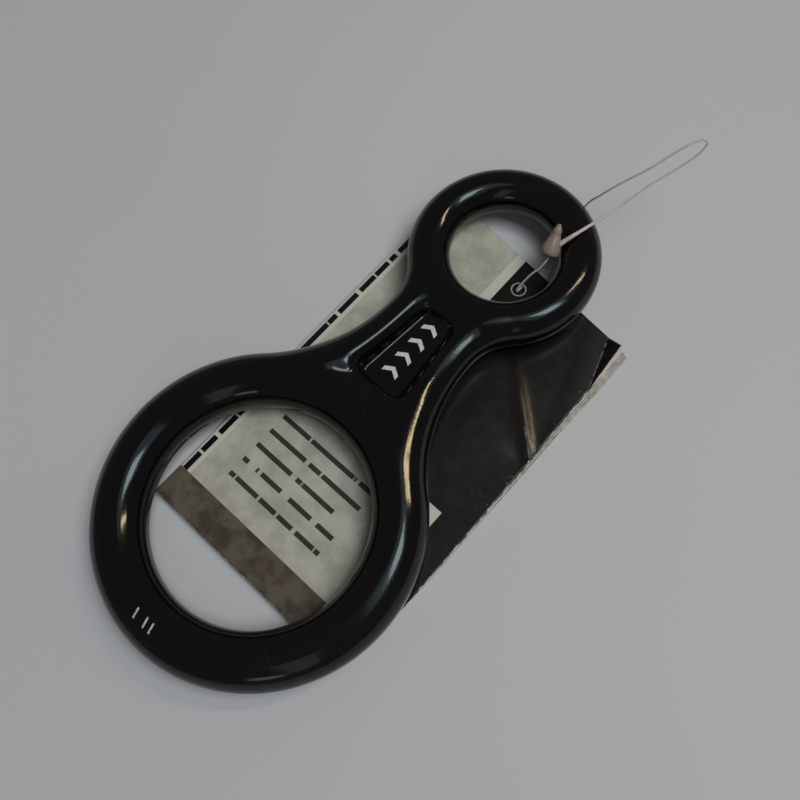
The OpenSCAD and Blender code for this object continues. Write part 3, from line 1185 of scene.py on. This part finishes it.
    def front_relief(self, vert: Vert) -> None:
        """Bends the front leaf: a ridge and a dent, a sagging free edge and a turned-up corner."""
        x, y, _ = vert.co
        free = ease(x, self.sag_x, self.free_x(LeafRole.FRONT))
        vert.co.z += self.ridge(x, y) - self.edge_sag * free
        off_x, off_y = ((c - at) / size for c, at, size in zip((x, y), self.dent_at, self.dent_size))
        vert.co.z -= self.dent_depth * math.exp(-(off_x**2) - off_y**2)
        foot, head = (Vector(end) for end in self.crease)
        way = (head - foot).normalized()
        out = Vector((way.y, -way.x))
        beyond = (Vector((x, y)) - foot).dot(out)
        if beyond > 0:
            bend = math.radians(self.crease_bend) * min(1.0, beyond / self.crease_r)
            drawn = beyond * (1 - math.cos(bend))
            vert.co.x -= out.x * drawn
            vert.co.y -= out.y * drawn
            vert.co.z += beyond * math.sin(bend)
        vert.co.z += self.crease_rise * ease(beyond, -self.crease_reach, 0.0)

    def relief(self, vert: Vert, role: LeafRole) -> None:
        """Bends a leaf; an inner one has the slight cockle of handled paper."""
        if role is LeafRole.FRONT:
            self.front_relief(vert)
        across, along = (vert.co[i] / self.cockle_size[i] for i in range(2))
        depth = self.cockles[role.order]
        vert.co.z += depth * noise.noise(Vector((across, along, self.cockle_seed)))

    def punched(self, piece: Object) -> None:
        """Punches the front leaf's hole, whose cut shows the paper's core."""
        form = bmesh.new()
        bmesh.ops.create_cone(
            form, cap_ends=True, segments=self.punch_steps, radius1=self.punch_r, radius2=self.punch_r,
            depth=self.punch_l,
        )
        bmesh.ops.translate(form, verts=form.verts, vec=(*self.punch, self.tops[0]))
        for face in form.faces:
            face.material_index = 1
        punch = new_piece("punch", form, list(piece.data.materials))
        apply_modifier(piece, "BOOLEAN", operation="DIFFERENCE", solver="EXACT", object=punch)
        bpy.data.objects.remove(punch)

    def leaf(self, role: LeafRole, finishes: Sequence[Material]) -> Object:
        """Makes one leaf as a thin bent sheet.

        Args:
            role: Which leaf it is.
            finishes: Materials of its outer face and of its inner face and cut edge.

        Returns:
            The piece.
        """
        form = self.sheet(role)
        for vert in form.verts:
            self.relief(vert, role)
        bmesh.ops.recalc_face_normals(form, faces=form.faces)
        upward = sum(face.normal.z for face in form.faces) > 0
        if upward == (role is LeafRole.BACK):
            bmesh.ops.reverse_faces(form, faces=form.faces)
        piece = new_piece(f"leaf_{role.value}", form, finishes)
        inner = len(finishes) - 1
        apply_modifier(
            piece, "SOLIDIFY", thickness=self.thicks[role.order], offset=0.0, use_even_offset=True,
            material_offset=inner, material_offset_rim=inner,
        )
        return piece

    def build(self, cover: Material, back: Material, paper: Material, page: Material) -> list[Object]:
        """Makes the four leaves.

        Args:
            cover: Material of the front leaf's printed face.
            back: Material of the back leaf's outer face.
            paper: Material of plain paper.
            page: Material of an inner page.

        Returns:
            The pieces.
        """
        leaves = (
            (LeafRole.FRONT, [cover, paper], "front_leaf", "leaflet_front", Slot.COVER),
            (LeafRole.INNER_A, [page], "inner_leaf_a", "leaflet_inner_a", Slot.PAPER),
            (LeafRole.INNER_B, [page], "inner_leaf_b", "leaflet_inner_b", Slot.PAPER),
            (LeafRole.BACK, [back, paper], "back_leaf", "leaflet_back", Slot.COVER),
        )
        pieces = []
        for role, finishes, body, node, slot in leaves:
            piece = self.leaf(role, finishes)
            if role is LeafRole.FRONT:
                self.punched(piece)
            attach(piece, body)
            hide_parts(node)
            pieces.append(piece)
        return pieces


@dataclass(frozen=True)
class ViewPoint:
    """The camera at the photograph's viewing angle."""

    place: Point = (0.056781, 0.001372, 0.179908)
    right: Point = (0.7406, 0.6690, -0.0630)
    up: Point = (-0.6170, 0.7142, 0.3306)
    focal_px: float = 820.0
    image_px: float = 800.0
    sensor: float = 36.0
    near: float = 0.01

    def build(self) -> Object:
        """Makes the camera and gives it to the scene.

        Returns:
            The camera.
        """
        lens = bpy.data.cameras.new("camera")
        lens.sensor_width = self.sensor
        lens.lens = self.focal_px / self.image_px * self.sensor
        lens.clip_start = self.near
        camera = linked("camera", lens)
        right = Vector(self.right).normalized()
        back = right.cross(Vector(self.up)).normalized()
        turn = Matrix((right, back.cross(right), back)).transposed()
        camera.matrix_world = Matrix.Translation(self.place) @ turn.to_4x4()
        bpy.context.scene.camera = camera
        return camera


@dataclass(frozen=True)
class Lamp:
    """A rectangular studio lamp, turned to what it lights; glossy surfaces show it if it is mirrored."""

    name: str
    way: Point
    distance: float
    size: Span
    power: float
    tint: Colour
    roll: float = 0.0
    mirrored: bool = True

    def build(self, aim: Point) -> Object:
        """Makes the lamp.

        Args:
            aim: The place that it lights.

        Returns:
            The lamp's object.
        """
        light = bpy.data.lights.new(self.name, "AREA")
        light.shape = "RECTANGLE"
        light.size, light.size_y = self.size
        light.energy = self.power
        light.color = self.tint
        way = Vector(self.way).normalized()
        lamp = linked(self.name, light)
        lamp.location = Vector(aim) + way * self.distance
        lamp.visible_glossy = self.mirrored
        lamp.rotation_mode = "QUATERNION"
        roll = Quaternion((0, 0, 1), math.radians(self.roll))
        lamp.rotation_quaternion = way.to_track_quat("Z", "Y") @ roll
        return lamp


@dataclass
class Studio:
    """The floor, the lamps and the dim room round the object."""

    floor_size: float = 6.0
    floor_gap: float = 0.02 * MM
    room: Colour = (0.095, 0.095, 0.096)
    aim: Point = (0.005, 0.045, 0.0)
    lamps: tuple[Lamp, ...] = (
        Lamp("fill", (0.35, 0.15, 0.92), 2.0, (1.0, 1.0), 20.5, (0.99, 0.965, 1.0), mirrored=False),
        Lamp("halo", (0.272, 0.194, 0.943), 2.0, (0.85, 1.3), 1.9, (0.68, 0.95, 1.0), -37.0),
        Lamp("key", (0.289, 0.239, 0.927), 2.0, (0.38, 0.6), 4.4, (0.76, 0.96, 1.0), -37.0),
        Lamp("warm", (0.228, 0.536, 0.812), 2.0, (0.07, 0.64), 4.0, (1.0, 0.79, 0.46), -23.0),
        Lamp("beige", (0.539, -0.489, 0.686), 2.0, (0.44, 1.52), 0.84, (1.0, 0.97, 0.90), 14.0),
        Lamp("low", (0.54, -0.748, 0.385), 2.0, (0.42, 0.28), 0.6, (0.86, 0.96, 1.0)),
    )

    def floor(self) -> Object:
        """Makes the pale floor that the leaflet lies on.

        Returns:
            The floor.
        """
        form = bmesh.new()
        bmesh.ops.create_grid(form, x_segments=2, y_segments=2, size=self.floor_size / 2)
        bmesh.ops.translate(form, verts=form.verts, vec=(0.0, 0.0, CAD_BOX[0].z - self.floor_gap))
        floor = new_piece("floor", form, [PaleFloor().make()])
        return floor

    def build(self) -> None:
        """Makes the whole studio."""
        scene = bpy.context.scene
        scene.view_settings.view_transform = "Standard"
        world = bpy.data.worlds.new("room")
        world.use_nodes = True
        background = world.node_tree.nodes["Background"]
        background.inputs["Color"].default_value = (*self.room, 1.0)
        scene.world = world
        self.floor()
        for lamp in self.lamps:
            lamp.build(self.aim)


def main() -> None:
    """Builds the camera, the object's sub-assemblies and the studio, in that order."""
    logging.basicConfig(level=logging.INFO, format="%(name)s: %(message)s")
    ViewPoint().build()
    leaflet = Leaflet()
    clear = MilkyNylon("clear_nylon", (0.61, 0.56, 0.53), (0.51, 0.46, 0.43), 0.15).make()
    milky = MilkyNylon("milky_nylon", (0.30, 0.24, 0.20), (0.25, 0.195, 0.16), 0.1).make()
    cover = PrintedCover(leaflet).make()
    pieces = TagLoop().build(clear, milky)
    pieces.append(Descender().build(AnodisedBlack().make()))
    pieces.append(RecessMarks().build(WhiteEnamel().make()))
    edges = tuple(leaflet.free_x(role) / MM for role in LeafRole)
    paper = PlainPaper("plain_paper", printed=False, edge_xs=edges).make()
    page = PlainPaper("inner_page", printed=True, edge_xs=edges).make()
    pieces += leaflet.build(cover, BackCover().make(), paper, page)
    Studio().build()
    for piece in pieces:
        LOG.info("made %s", piece.name)


if __name__ == "__main__":
    main()
